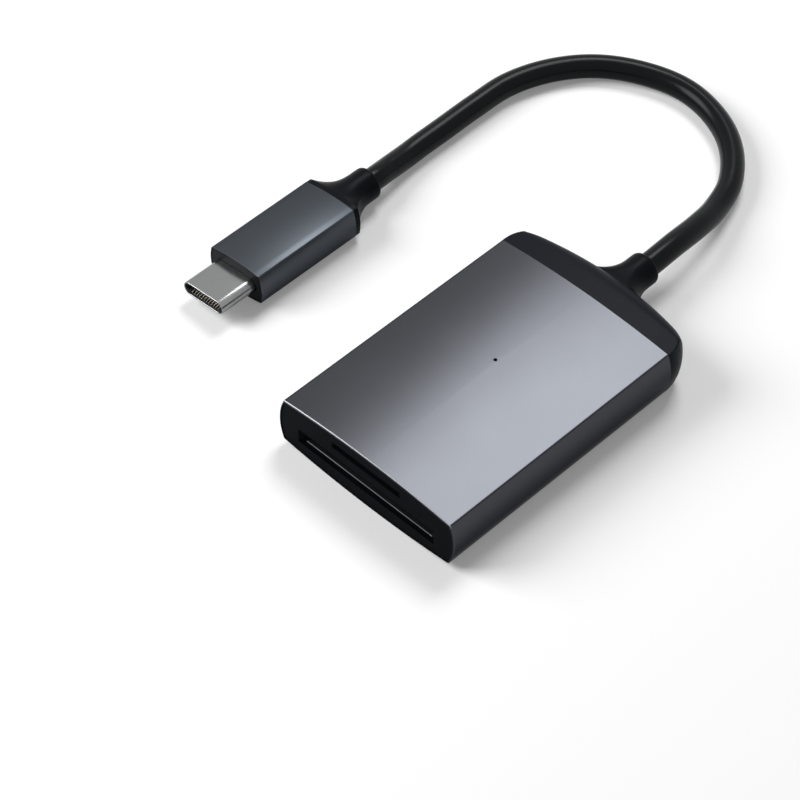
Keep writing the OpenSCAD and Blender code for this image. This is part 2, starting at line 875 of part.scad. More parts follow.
module cable_strain_relief() {
    flare_y = joint_y + cap_l - 0.6;
    tip = collar_tip(exit_y);
    flare_l = tip[0][0] - flare_y;
    color([0.12, 0.13, 0.15])
        loft(concat(
            [
                slot_ring(flange_y, flange_w, flange_h),
                slot_ring(pocket_end_y, flange_w, flange_h),
                slot_ring(pocket_end_y, root_w, root_h)
            ],
            [for (u = [1 : -1 / FLARE_STEPS : 1 / FLARE_STEPS / 2])
                slot_ring(
                    flare_y + (1 - u) * flare_l,
                    collar_d + (root_w - collar_d) * flare(u),
                    collar_d + (root_h - collar_d) * flare(u)
                )],
            [for (step = tip) slot_ring(step[0], step[1], step[1])]
        ));
}

// Points that the cable's middle line passes
cable_path = [for (p = ROUTE) [p[0], exit_y + p[1], p[2]]];

module cable() {
    color([0.08, 0.09, 0.11])
        tube(cable_path, cable_d, [0, 1, 0], [0, -1, 0]);
}

// Angles round the plug's section, with one at each corner
corner_a = atan2(PLUG[1] - plug_crown, PLUG[0] - plug_bulge);
quarter = concat(
    [for (i = [0 : 3]) corner_a * i / 4],
    [for (i = [0 : 3]) corner_a + (90 - corner_a) * i / 4]
);
boot_angles = [for (turn = [0, 180]) each concat(
    [for (a = quarter) turn + a],
    [turn + 90],
    [for (i = [7 : -1 : 1]) turn + 180 - quarter[i]]
)];
// Ring of the plug's boot at y: the share of the pillow section that u gives, over a round core
function boot_ring(y, d, u) = [
    for (a = boot_angles)
        let (r = d / 2 + (pillow_reach(PLUG, a) - d / 2) * u)
        [r * cos(a), y, r * sin(a)]
];

module plug_boot() {
    base_l = 0.9;
    tip = collar_tip(boot_end);
    flare_y = sleeve_l + base_l;
    flare_l = tip[0][0] - flare_y;
    color([0.12, 0.13, 0.15])
        place_plug()
            loft(concat(
                [boot_ring(sleeve_l, collar_d, 1)],
                [for (u = [1 : -1 / FLARE_STEPS : 1 / FLARE_STEPS / 2])
                    boot_ring(flare_y + (1 - u) * flare_l, collar_d, flare(u))],
                [for (step = tip) boot_ring(step[0], step[1], 0)]
            ));
}

module plug_sleeve() {
    color("slategray")
        place_plug()
            difference() {
                along_y(0, sleeve_l)
                    rounded_outline(PLUG, sleeve_edge_r);
                along_y(-PAST, sleeve_l + PAST)
                    pillow_outline(PLUG, sleeve_wall);
                along_y(-PAST, insert_end)
                    pillow_outline(PLUG, sleeve_rim);
            }
}

module plug_front_insert() {
    color([0.12, 0.13, 0.15])
        place_plug()
            along_y(insert_recess, insert_end)
                difference() {
                    pillow_outline(PLUG, sleeve_rim + FIT);
                    slot_outline(usb_w + 2 * FIT, usb_h + 2 * FIT);
                }
}

module plug_inner_mould() {
    color([0.8, 0.8, 0.78])
        place_plug()
            difference() {
                along_y(plug_board_end - board_grip, sleeve_l)
                    pillow_outline(PLUG, sleeve_wall + FIT);
                translate([0, plug_board_end - board_grip, 0])
                    block(
                        [-plug_board_w / 2 - FIT, -PAST, -plug_board_t / 2 - FIT],
                        [plug_board_w / 2 + FIT, board_grip, plug_board_t / 2 + FIT]
                    );
            }
}

module plug_board() {
    color("darkgreen")
        place_plug()
            translate([0, plug_board_end, 0])
                block(
                    [-plug_board_w / 2, -plug_board_l, -plug_board_t / 2],
                    [plug_board_w / 2, 0, plug_board_t / 2]
                );
}

module usb_c_shell() {
    color("silver")
        place_plug()
            along_y(-usb_reach, usb_tail)
                difference() {
                    slot_outline(usb_w, usb_h);
                    slot_outline(usb_w - 2 * usb_wall, usb_h - 2 * usb_wall);
                }
}

module usb_c_insulator() {
    bore = 2 * (usb_wall + FIT);
    tip = -usb_reach + tip_recess;
    color([0.14, 0.14, 0.15])
        place_plug()
            difference() {
                along_y(tip, usb_tail)
                    slot_outline(usb_w - bore, usb_h - bore);
                block(
                    [-mouth_w / 2, tip - PAST, -mouth_h / 2],
                    [mouth_w / 2, tip + mouth_l, mouth_h / 2]
                );
                for (i = [0 : 11], side = [-1, 1])
                    translate([row_place(i, 12, contact_pitch), 0, side * groove_z])
                        block(
                            [-contact_w / 2 - FIT, tip - PAST, -groove_h / 2],
                            [contact_w / 2 + FIT, usb_tail + PAST, groove_h / 2]
                        );
                for (side = [-1, 1])
                    translate([side * latch_x, 0, 0])
                        block(
                            [-latch_t / 2 - FIT, tip - PAST, -latch_h / 2 - FIT],
                            [latch_t / 2 + FIT, usb_tail - PAST, latch_h / 2 + FIT]
                        );
            }
}

// Side profile of one upper plug contact: a bump near the tip and a tail on the board
module contact_profile() {
    tip = -usb_reach + tip_recess;
    tail_z = plug_board_t / 2;
    beam_z = groove_z;
    bump_z = mouth_h / 2 - 0.1;
    t = spring_t;
    polygon([
        [tip + FIT, beam_z + t],
        [tip + 1.2, bump_z],
        [tip + 2.2, beam_z],
        [usb_tail, beam_z],
        [usb_tail + 0.4, tail_z],
        [usb_tail + 1.5, tail_z],
        [usb_tail + 1.5, tail_z + t],
        [usb_tail + 0.5, tail_z + t],
        [usb_tail + 0.1, beam_z + t],
        [tip + 2.1, beam_z + t],
        [tip + 1.2, bump_z + t],
        [tip + FIT + t, beam_z + 2 * t]
    ]);
}

module usb_c_contacts() {
    color("gold")
        place_plug()
            for (i = [0 : 11], flip = [0, 1])
                mirror([0, 0, flip])
                    along_x(row_place(i, 12, contact_pitch), contact_w)
                        contact_profile();
}

module usb_c_latches() {
    bump = 0.25;
    bump_y = 2.6 - usb_reach;
    half = 1.2;
    tip = 0.9 - usb_reach;
    color("silver")
        place_plug()
            for (flip = [0, 1])
                mirror([flip, 0, 0])
                    translate([latch_x - latch_t / 2, 0, -latch_h / 2])
                        linear_extrude(height = latch_h)
                            polygon([
                                [0, tip], [0, bump_y - half], [-bump, bump_y], [0, bump_y + half],
                                [0, usb_tail - PAST], [latch_t, usb_tail - PAST], [latch_t, tip]
                            ]);
}

aluminium_shell();
front_bezel();
rear_cap();
board_carrier();
circuit_board();
sd_socket_base();
sd_socket_cover();
sd_contacts();
microsd_socket_base();
microsd_socket_cover();
microsd_contacts();
controller_chip();
crystal();
voltage_regulator();
power_inductor();
chip_capacitors();
status_led();
light_pipe();
cable_wires();
cable_strain_relief();
cable();
plug_boot();
plug_sleeve();
plug_front_insert();
plug_inner_mould();
plug_board();
usb_c_shell();
usb_c_insulator();
usb_c_contacts();
usb_c_latches();
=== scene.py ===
"""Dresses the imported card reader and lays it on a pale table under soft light.

Lengths are in metres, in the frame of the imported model: the table is at z = 0, the card
slots face -Y and the cable leaves towards +Y.
"""

import json
import logging
import math
from dataclasses import dataclass
from enum import Enum
from typing import Callable, Iterable, Sequence

import bmesh
import bpy
from mathutils import Matrix, Vector

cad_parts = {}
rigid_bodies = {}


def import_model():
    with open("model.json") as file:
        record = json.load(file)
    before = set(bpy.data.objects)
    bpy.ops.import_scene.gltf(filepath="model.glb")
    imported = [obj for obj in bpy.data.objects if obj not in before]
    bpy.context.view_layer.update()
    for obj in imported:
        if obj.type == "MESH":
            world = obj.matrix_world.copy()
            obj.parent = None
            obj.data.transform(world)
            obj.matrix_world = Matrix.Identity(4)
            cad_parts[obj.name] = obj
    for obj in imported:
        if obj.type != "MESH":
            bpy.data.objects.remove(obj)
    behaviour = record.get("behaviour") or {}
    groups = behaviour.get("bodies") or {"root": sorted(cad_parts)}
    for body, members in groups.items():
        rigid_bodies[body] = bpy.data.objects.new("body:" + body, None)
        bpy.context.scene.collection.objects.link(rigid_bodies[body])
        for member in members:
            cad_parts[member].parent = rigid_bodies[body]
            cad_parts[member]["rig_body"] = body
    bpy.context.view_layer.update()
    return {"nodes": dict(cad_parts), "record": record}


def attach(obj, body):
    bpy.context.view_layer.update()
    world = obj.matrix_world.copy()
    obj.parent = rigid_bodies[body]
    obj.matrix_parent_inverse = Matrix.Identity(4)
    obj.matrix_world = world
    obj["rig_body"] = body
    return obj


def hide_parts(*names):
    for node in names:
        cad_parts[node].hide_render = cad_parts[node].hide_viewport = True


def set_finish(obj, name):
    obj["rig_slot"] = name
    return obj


log = logging.getLogger("reader")
MM = 0.001
Colour = tuple[float, float, float]
Point = tuple[float, float, float]
Ring = Callable[[float], Point]
Socket = bpy.types.NodeSocket


def srgb(text: str) -> Colour:
    """Gives the linear colour of a six-digit hexadecimal colour."""
    levels = [int(text[i : i + 2], 16) / 255 for i in (0, 2, 4)]
    return tuple(
        v / 12.92 if v <= 0.04045 else ((v + 0.055) / 1.055) ** 2.4 for v in levels
    )


# ---------------------------------------------------------------- node groups


class NodeWork:
    """Adds and joins nodes in one shader node tree."""

    def __init__(self, tree: bpy.types.NodeTree) -> None:
        """Starts work on a tree."""
        self.tree = tree

    def add(
        self,
        kind: str,
        inputs: dict[str | int, Socket | float | Sequence[float]],
        **settings: object,
    ) -> bpy.types.Node:
        """Adds a node.

        Args:
            kind: the node's type name.
            inputs: a socket to link or a value to set, by the input's name or number.
            settings: the node's own settings.

        Returns:
            The new node.
        """
        node = self.tree.nodes.new(kind)
        for name, value in settings.items():
            setattr(node, name, value)
        for name, value in inputs.items():
            if isinstance(value, Socket):
                self.tree.links.new(value, node.inputs[name])
            else:
                node.inputs[name].default_value = value
        return node

    def calculate(self, operation: str, *terms: Socket | float) -> Socket:
        """Adds one step of arithmetic on sockets or numbers and gives its result."""
        node = self.add("ShaderNodeMath", dict(enumerate(terms)), operation=operation)
        return node.outputs[0]


class Effect(Enum):
    """The surface effects that several finishes share."""

    BLAST = "Bead blast"
    MOULD = "Mould grain"
    SMUDGE = "Handling smudges"
    BRUSH = "Drawn lines"
    CUT = "Cut front edge"


class GroupMaker(NodeWork):
    """Builds a shader node group whose sockets are numbers."""

    def __init__(
        self, effect: Effect, inputs: dict[str, float], outputs: Sequence[str]
    ) -> None:
        """Starts a group with its sockets and the place that is shaded.

        Args:
            effect: the effect that names the group.
            inputs: name and default of each input.
            outputs: name of each output.
        """
        super().__init__(bpy.data.node_groups.new(effect.value, "ShaderNodeTree"))
        for name, value in inputs.items():
            self.add_socket(name, "INPUT").default_value = value
        for name in outputs:
            self.add_socket(name, "OUTPUT")
        self.inlet = self.tree.nodes.new("NodeGroupInput")
        self.outlet = self.tree.nodes.new("NodeGroupOutput")
        self.place = self.tree.nodes.new("ShaderNodeTexCoord").outputs["Object"]

    def add_socket(self, name: str, side: str) -> bpy.types.NodeTreeInterfaceSocket:
        """Adds a number socket on the INPUT or the OUTPUT side of the group."""
        return self.tree.interface.new_socket(
            name=name, in_out=side, socket_type="NodeSocketFloat"
        )

    def setting(self, name: str) -> Socket:
        """Gives the value of one of the group's inputs."""
        return self.inlet.outputs[name]

    def noise(
        self,
        place: Socket,
        scale: Socket,
        detail: float,
        roughness: float,
        distortion: float = 0.0,
    ) -> Socket:
        """Adds a noise texture and gives its level."""
        inputs = {
            "Vector": place,
            "Scale": scale,
            "Detail": detail,
            "Roughness": roughness,
            "Distortion": distortion,
        }
        return self.add("ShaderNodeTexNoise", inputs).outputs["Fac"]

    def finish(self, **results: Socket) -> bpy.types.NodeTree:
        """Sends each socket to the output of its name and gives the group."""
        for name, socket in results.items():
            self.tree.links.new(socket, self.outlet.inputs[name])
        return self.tree


def make_blast() -> bpy.types.NodeTree:
    """Fine pits of a bead-blasted and anodised face.

    Returns:
        A group that puts out the height of the pits and a slow drift of the tone.
    """
    group = GroupMaker(
        Effect.BLAST, {"Scale": 5200.0, "Drift": 60.0}, ("Height", "Tone")
    )
    scale, cell_share = group.setting("Scale"), 0.5
    pits = group.noise(group.place, scale, detail=2.0, roughness=0.55)
    cells = group.add("ShaderNodeTexVoronoi", {"Vector": group.place, "Scale": scale})
    height = group.calculate(
        "MULTIPLY_ADD", cells.outputs["Distance"], cell_share, pits
    )
    tone = group.noise(group.place, group.setting("Drift"), detail=3.0, roughness=0.5)
    return group.finish(Height=height, Tone=tone)


def make_mould() -> bpy.types.NodeTree:
    """Spark-eroded grain of a moulded plastic face.

    Returns:
        A group that puts out the grain's height and a mask of its rougher patches.
    """
    group = GroupMaker(
        Effect.MOULD, {"Scale": 3000.0, "Patch": 120.0}, ("Height", "Patches")
    )
    grain = group.noise(group.place, group.setting("Scale"), detail=3.0, roughness=0.6)
    patch = group.noise(group.place, group.setting("Patch"), detail=2.0, roughness=0.5)
    return group.finish(Height=grain, Patches=patch)


def make_smudge() -> bpy.types.NodeTree:
    """Faint patches that handling leaves.

    Returns:
        A group that puts out the mask of the smudges, from 0 to the amount.
    """
    group = GroupMaker(Effect.SMUDGE, {"Scale": 70.0, "Amount": 0.5}, ("Mask",))
    broad = group.noise(
        group.place, group.setting("Scale"), detail=2.0, roughness=0.4, distortion=0.2
    )
    clean, smudged = 0.3, 0.8
    patches = group.add(
        "ShaderNodeMapRange",
        {"Value": broad, "From Min": clean, "From Max": smudged},
        interpolation_type="SMOOTHERSTEP",
    )
    mask = group.calculate(
        "MULTIPLY", patches.outputs["Result"], group.setting("Amount")
    )
    return group.finish(Mask=mask)


def make_brush() -> bpy.types.NodeTree:
    """Fine drawn lines of rolled or pressed sheet, along the Y axis.

    Returns:
        A group that puts out the height of the lines.
    """
    group = GroupMaker(Effect.BRUSH, {"Scale": 4000.0}, ("Height",))
    stretch = group.add(
        "ShaderNodeMapping", {"Vector": group.place, "Scale": (1.0, 0.03, 1.0)}
    )
    lines = group.noise(
        stretch.outputs["Vector"], group.setting("Scale"), detail=3.0, roughness=0.6
    )
    return group.finish(Height=lines)


def make_cut() -> bpy.types.NodeTree:
    """Masks of a front edge cut through its anodised layer, and of painted shade.

    Returns:
        A group that puts out masks of the front face, of the cut behind it on one span
        of X, and of a painted shade line, a dark line that stands in for the dark
        reflected by the rounded long edges, at one distance from the middle.
    """
    group = GroupMaker(
        Effect.CUT,
        {"Start": 0.0, "End": 0.0, "Middle": 0.0, "Half span": 1.0, "Long edge": 1.0},
        ("Face", "Line", "Edge"),
    )
    parts = group.add("ShaderNodeSeparateXYZ", {0: group.place})
    face = group.calculate("LESS_THAN", parts.outputs["Y"], group.setting("Start"))
    ahead = group.calculate("LESS_THAN", parts.outputs["Y"], group.setting("End"))
    band = group.calculate("SUBTRACT", ahead, face)
    across = group.calculate("SUBTRACT", parts.outputs["X"], group.setting("Middle"))
    off = group.calculate("ABSOLUTE", across)
    within = group.calculate("LESS_THAN", off, group.setting("Half span"))
    line = group.calculate("MULTIPLY", band, within)
    past = group.calculate("SUBTRACT", off, group.setting("Long edge"))
    # painted shade: the line is darkest within the first width of the long edge and fades
    # out by the second
    shade_core, shade_fade = 0.05 * MM, 0.2 * MM
    edge = group.add(
        "ShaderNodeMapRange",
        {
            "Value": group.calculate("ABSOLUTE", past),
            "From Min": shade_core,
            "From Max": shade_fade,
            "To Min": 1.0,
            "To Max": 0.0,
        },
        interpolation_type="SMOOTHSTEP",
    )
    return group.finish(Face=face, Line=line, Edge=edge.outputs["Result"])


class EffectShelf:
    """Holds the shared node groups, each built once."""

    def __init__(self) -> None:
        """Builds every group."""
        self.groups = {
            Effect.BLAST: make_blast(),
            Effect.MOULD: make_mould(),
            Effect.SMUDGE: make_smudge(),
            Effect.BRUSH: make_brush(),
            Effect.CUT: make_cut(),
        }

    def place(
        self, tree: bpy.types.NodeTree, effect: Effect, **values: float
    ) -> bpy.types.Node:
        """Puts an effect into a material.

        Args:
            tree: the material's node tree.
            effect: which group.
            values: settings of its inputs; an underscore in a name stands for a space.

        Returns:
            The group node.
        """
        made = tree.nodes.new("ShaderNodeGroup")
        made.node_tree = self.groups[effect]
        for name, value in values.items():
            made.inputs[name.replace("_", " ")].default_value = value
        return made


# ------------------------------------------------------------------- finishes


class Shader(NodeWork):
    """A Principled material under construction."""

    def __init__(self, name: str) -> None:
        """Makes a material with only its shader and output."""
        self.material = bpy.data.materials.new(name)
        self.material.use_nodes = True
        super().__init__(self.material.node_tree)
        self.bsdf = self.tree.nodes["Principled BSDF"]

    def set(self, **values: object) -> None:
        """Sets shader inputs; an underscore in a name stands for a space."""
        for name, value in values.items():
            self.bsdf.inputs[name.replace("_", " ")].default_value = value

    def link(self, start: Socket, name: str) -> None:
        """Sends a socket to one of the shader's inputs."""
        self.tree.links.new(start, self.bsdf.inputs[name])

    def ramp(self, socket: Socket, low: float, high: float) -> Socket:
        """Maps a 0 to 1 socket onto low to high."""
        inputs = {"Value": socket, "To Min": low, "To Max": high}
        return self.add("ShaderNodeMapRange", inputs).outputs["Result"]

    # The sockets of a Mix node share their names, so they go by number: its numbers
    # are inputs 2 and 3 and output 0, its colours inputs 6 and 7 and output 2.

    def blend(self, mask: Socket, start: Socket, end: float) -> Socket:
        """Goes from a socket's number to a fixed one as a mask goes from 0 to 1."""
        return self.add("ShaderNodeMix", {0: mask, 2: start, 3: end}).outputs[0]

    def mix(self, mask: Socket, start: Socket | Colour, end: Colour) -> Socket:
        """Blends two colours by a mask; the first may come from a socket."""
        first = (*start, 1.0) if isinstance(start, tuple) else start
        inputs = {0: mask, 6: first, 7: (*end, 1.0)}
        return self.add("ShaderNodeMix", inputs, data_type="RGBA").outputs[2]

    def tones(self, socket: Socket, dark: Colour, light: Colour) -> None:
        """Blends the base colour between two tones."""
        self.link(self.mix(socket, dark, light), "Base Color")

    def bump(self, socket: Socket, strength: float, distance: float) -> None:
        """Turns a height into a bump of the shader's normal."""
        inputs = {"Height": socket, "Strength": strength, "Distance": distance}
        bump = self.add("ShaderNodeBump", inputs)
        self.link(bump.outputs["Normal"], "Normal")

    def mould(
        self,
        effects: EffectShelf,
        scale: float,
        roughness: tuple[float, float],
        grain: float,
        depth: float,
    ) -> Socket:
        """Gives the surface the grain of a mould.

        Args:
            effects: the shared effects.
            scale: scale of the grain.
            roughness: roughness of the smoothest and the roughest patches.
            grain: strength of the grain's bump.
            depth: depth of the grain.

        Returns:
            The mask of the rougher patches.
        """
        mould = effects.place(self.tree, Effect.MOULD, Scale=scale)
        patches = mould.outputs["Patches"]
        self.link(self.ramp(patches, *roughness), "Roughness")
        self.bump(mould.outputs["Height"], grain, depth)
        return patches


@dataclass(frozen=True)
class AnodisedAluminium:
    """Bead-blasted aluminium under a tinted anodised layer.

    The cut runs from cut_start to cut_end behind front_y, and half_span to either side
    of middle_x. A painted shade line, a dark line that stands in for the dark reflected
    by the rounded long edges, runs at a set distance to either side, by default far
    outside. The front face is painted darker as well, as painted shade.
    """

    name: str
    dark: Colour
    light: Colour
    front_y: float
    middle_x: float
    half_span: float
    bare: Colour
    shade_line_offset: float = 1.0
    cut_start: float = 0.1 * MM
    cut_end: float = 0.2 * MM
    roughness: float = 0.25
    bare_roughness: float = 0.35
    smudge: float = 0.6
    smudge_roughness: float = 0.03
    pit_bump: float = 0.08
    pit_depth: float = 0.02 * MM
    grazing: Colour = (0.52, 0.52, 0.535)
    # painted shade: a darker colour on the front face, standing in for the shade it
    # catches
    front_face_shade: Colour = (0.016, 0.017, 0.02)
    # painted shade: the colour of the dark line along the rounded long edges, standing in
    # for the dark they reflect
    edge: Colour = (0.024, 0.0245, 0.03)

    def build(self, effects: EffectShelf) -> bpy.types.Material:
        """Makes the material from the shared effects."""
        shader = Shader(self.name)
        shader.set(Metallic=1.0, Specular_Tint=(*self.grazing, 1.0))
        blast = effects.place(shader.tree, Effect.BLAST)
        smudge = effects.place(shader.tree, Effect.SMUDGE, Amount=self.smudge)
        cut = effects.place(
            shader.tree,
            Effect.CUT,
            Start=self.front_y + self.cut_start,
            End=self.front_y + self.cut_end,
            Middle=self.middle_x,
            Half_span=self.half_span,
            Long_edge=self.shade_line_offset,
        )
        line = cut.outputs["Line"]
        layer = shader.mix(blast.outputs["Tone"], self.dark, self.light)
        # painted shade on the front face and along the long edges
        layer = shader.mix(cut.outputs["Face"], layer, self.front_face_shade)
        layer = shader.mix(cut.outputs["Edge"], layer, self.edge)
        shader.link(shader.mix(line, layer, self.bare), "Base Color")
        rough = shader.ramp(
            smudge.outputs["Mask"],
            self.roughness,
            self.roughness + self.smudge_roughness,
        )
        shader.link(shader.blend(line, rough, self.bare_roughness), "Roughness")
        shader.bump(blast.outputs["Height"], self.pit_bump, self.pit_depth)
        return shader.material


@dataclass(frozen=True)
class MouldedPlastic:
    """Opaque moulded plastic or elastomer with a fine grain."""

    name: str
    dark: Colour
    light: Colour
    roughness: float = 0.45
    smoother: float = 0.04
    rougher: float = 0.06
    grain: float = 0.15
    grain_scale: float = 3000.0
    grain_depth: float = 0.04 * MM
    specular: float = 0.05

    def build(self, effects: EffectShelf) -> bpy.types.Material:
        """Makes the material from the shared effects."""
        shader = Shader(self.name)
        shader.set(Specular_IOR_Level=self.specular)
        patches = shader.mould(
            effects,
            self.grain_scale,
            (self.roughness - self.smoother, self.roughness + self.rougher),
            self.grain,
            self.grain_depth,
        )
        shader.tones(patches, self.dark, self.light)
        return shader.material


@dataclass(frozen=True)
class SheetMetal:
    """Plated or stainless sheet with drawn lines."""

    name: str
    dark: Colour
    light: Colour
    roughness: float = 0.22
    lines: float = 0.08
    line_depth: float = 0.02 * MM
    smudge: float = 0.8
    smudge_scale: float = 300.0
    smudge_roughness: float = 0.1

    def build(self, effects: EffectShelf) -> bpy.types.Material:
        """Makes the material from the shared effects."""
        shader = Shader(self.name)
        shader.set(Metallic=1.0)
        brush = effects.place(shader.tree, Effect.BRUSH)
        smudge = effects.place(
            shader.tree, Effect.SMUDGE, Scale=self.smudge_scale, Amount=self.smudge
        )
        mask, end = smudge.outputs["Mask"], self.roughness + self.smudge_roughness
        shader.tones(mask, self.light, self.dark)
        shader.link(shader.ramp(mask, self.roughness, end), "Roughness")
        shader.bump(brush.outputs["Height"], self.lines, self.line_depth)
        return shader.material


@dataclass(frozen=True)
class ClearResin:
    """Frosted resin of the light pipe and the status light."""

    name: str
    colour: Colour
    transmission: float
    ior: float = 1.49
    patch_gain: float = 1.06

    def build(self, effects: EffectShelf) -> bpy.types.Material:
        """Makes the material from the shared effects."""
        shader = Shader(self.name)
        shader.set(Transmission_Weight=self.transmission, IOR=self.ior)
        patches = shader.mould(
            effects, scale=6000.0, roughness=(0.3, 0.5), grain=0.1, depth=0.02 * MM
        )
        lighter = tuple(min(1.0, v * self.patch_gain) for v in self.colour)
        shader.tones(patches, self.colour, lighter)
        return shader.material


@dataclass(frozen=True)
class StripedByX:
    """Insulation whose colour changes from one wire to the next along X."""

    name: str
    colours: tuple[Colour, ...]
    half_width: float

    def build(self, effects: EffectShelf) -> bpy.types.Material:
        """Makes the material from the shared effects."""
        shader = Shader(self.name)
        place = shader.add("ShaderNodeTexCoord", {})
        parts = shader.add("ShaderNodeSeparateXYZ", {0: place.outputs["Object"]})
        share = shader.add(
            "ShaderNodeMapRange",
            {
                "Value": parts.outputs["X"],
                "From Min": -self.half_width,
                "From Max": self.half_width,
            },
        )
        stripes = shader.add("ShaderNodeValToRGB", {"Fac": share.outputs["Result"]})
        ramp = stripes.color_ramp
        ramp.interpolation = "CONSTANT"
        while len(ramp.elements) < len(self.colours):
            ramp.elements.new(1.0)
        for i, colour in enumerate(self.colours):
            ramp.elements[i].position = i / len(self.colours)
            ramp.elements[i].color = (*colour, 1.0)
        shader.link(stripes.outputs["Color"], "Base Color")
        shader.mould(
            effects, scale=2500.0, roughness=(0.3, 0.42), grain=0.08, depth=0.03 * MM
        )
        return shader.material


def slot_finishes() -> dict[str, object]:
    """Gives the finish of each material slot of the record."""
    coarse = {"roughness": 0.5, "grain": 0.3}
    return {
        "anodised_aluminium": AnodisedAluminium(
            "Space grey housing",
            dark=(0.048, 0.0505, 0.0565),
            light=(0.054, 0.0565, 0.063),
            bare=(0.19, 0.195, 0.205),
            front_y=-26.15 * MM,
            middle_x=0.0,
            half_span=16.1 * MM,
            # painted shade line along the long edges of the top, this far to either side
            # of the middle
            shade_line_offset=15.92 * MM,
        ),
        "plug_aluminium": AnodisedAluminium(
            "Space grey plug sleeve",
            dark=(0.052, 0.058, 0.066),
            light=(0.058, 0.065, 0.074),
            bare=(0.1, 0.105, 0.115),
            front_y=-10.25 * MM,
            middle_x=-42.1 * MM,
            half_span=5.4 * MM,
            cut_start=0.01 * MM,
            cut_end=0.09 * MM,
            roughness=0.34,
        ),
        "bezel_plastic": MouldedPlastic(
            "Bezel black",
            (0.0025, 0.003, 0.004),
            (0.0035, 0.0042, 0.0055),
            roughness=0.45,
            specular=0.012,
        ),
        "cap_plastic": MouldedPlastic(
            "Cap black",
            (0.0062, 0.0076, 0.0112),
            (0.0082, 0.0098, 0.0138),
            roughness=0.38,
            specular=0.04,
        ),
        "moulded_tpe": MouldedPlastic(
            "Moulded boot",
            (0.0035, 0.0045, 0.006),
            (0.005, 0.006, 0.0078),
            roughness=0.3,
            grain=0.1,
            specular=0.03,
        ),
        "cable_jacket": MouldedPlastic(
            "Cable jacket",
            (0.0022, 0.0032, 0.004),
            (0.0034, 0.0046, 0.0056),
            roughness=0.22,
            grain=0.06,
            specular=0.09,
        ),
        "insert_plastic": MouldedPlastic(
            "Insert black", (0.006, 0.007, 0.008), (0.009, 0.01, 0.0115), roughness=0.4
        ),
        "carrier_plastic": MouldedPlastic(
            "Carrier black", (0.03, 0.03, 0.033), (0.04, 0.04, 0.043), roughness=0.5
        ),
        "board_laminate": MouldedPlastic(
            "Solder resist",
            (0.01, 0.07, 0.03),
            (0.014, 0.09, 0.04),
            roughness=0.28,
            grain=0.2,
            grain_scale=2200.0,
        ),
        "socket_plastic": MouldedPlastic(
            "Socket black", (0.014, 0.015, 0.017), (0.02, 0.021, 0.024), roughness=0.45
        ),
        "chip_epoxy": MouldedPlastic(
            "Chip epoxy", (0.016, 0.016, 0.017), (0.022, 0.022, 0.023), **coarse
        ),
        "ferrite": MouldedPlastic(
            "Ferrite", (0.045, 0.045, 0.05), (0.06, 0.06, 0.065), **coarse
        ),
        "capacitor_ceramic": MouldedPlastic(
            "Ceramic", (0.3, 0.2, 0.11), (0.36, 0.25, 0.14), roughness=0.35
        ),
        "inner_mould_plastic": MouldedPlastic(
            "Inner mould", (0.5, 0.5, 0.48), (0.56, 0.56, 0.54), roughness=0.5
        ),
        # painted shade: the steel is coloured far darker than stainless steel, standing
        # in for the shade inside the card slots
        "socket_steel": SheetMetal(
            "Socket steel", (0.06, 0.06, 0.063), (0.08, 0.08, 0.084), roughness=0.4
        ),
        "contact_gold": SheetMetal(
            "Contact gold", (0.7, 0.66, 0.56), (0.84, 0.8, 0.7), roughness=0.3
        ),
        # painted shade: the nickel is coloured darker than plated nickel, standing in for
        # the shade around the plug
        "plug_steel": SheetMetal(
            "Plug nickel",
            (0.2, 0.206, 0.207),
            (0.24, 0.246, 0.247),
            roughness=0.22,
            lines=0.04,
        ),
        "led_resin": ClearResin("Lamp resin", (0.85, 0.85, 0.8), transmission=0.2),
        # painted shade: the resin is tinted dark so that the light pipe reads dark at the
        # bottom of its pinhole
        "light_pipe_acrylic": ClearResin(
            "Light pipe", (0.12, 0.125, 0.13), transmission=0.6
        ),
        "wire_insulation": StripedByX(
            "Wire insulation",
            tuple(map(srgb, ("b01c1c", "1f7a36", "e6e6e2", "15161a", "c9a227"))),
            half_width=4.0 * MM,
        ),
    }


class Wardrobe:
    """Makes each finish once and dresses nodes and pieces in it by slot name."""

    def __init__(self, record: dict) -> None:
        """Builds the finishes and reads which slot each node has.

        Args:
            record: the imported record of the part.
        """
        effects = EffectShelf()
        self.materials = {
            slot: finish.build(effects) for slot, finish in slot_finishes().items()
        }
        self.slot_of = {s["node"]: s["material_slot"] for s in record["subparts"]}

    def dress_node(self, node: bpy.types.Object) -> None:
        """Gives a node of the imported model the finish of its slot."""
        material = self.materials[self.slot_of[node.name]]
        node.data.materials.clear()
        node.data.materials.append(material)

    def dress_piece(self, piece: bpy.types.Object, slot: str) -> None:
        """Gives a piece of the scene the finish of a slot and names that slot."""
        piece.data.materials.clear()
        piece.data.materials.append(self.materials[slot])
        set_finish(piece, slot)


# ------------------------------------------------------------- modelling tools


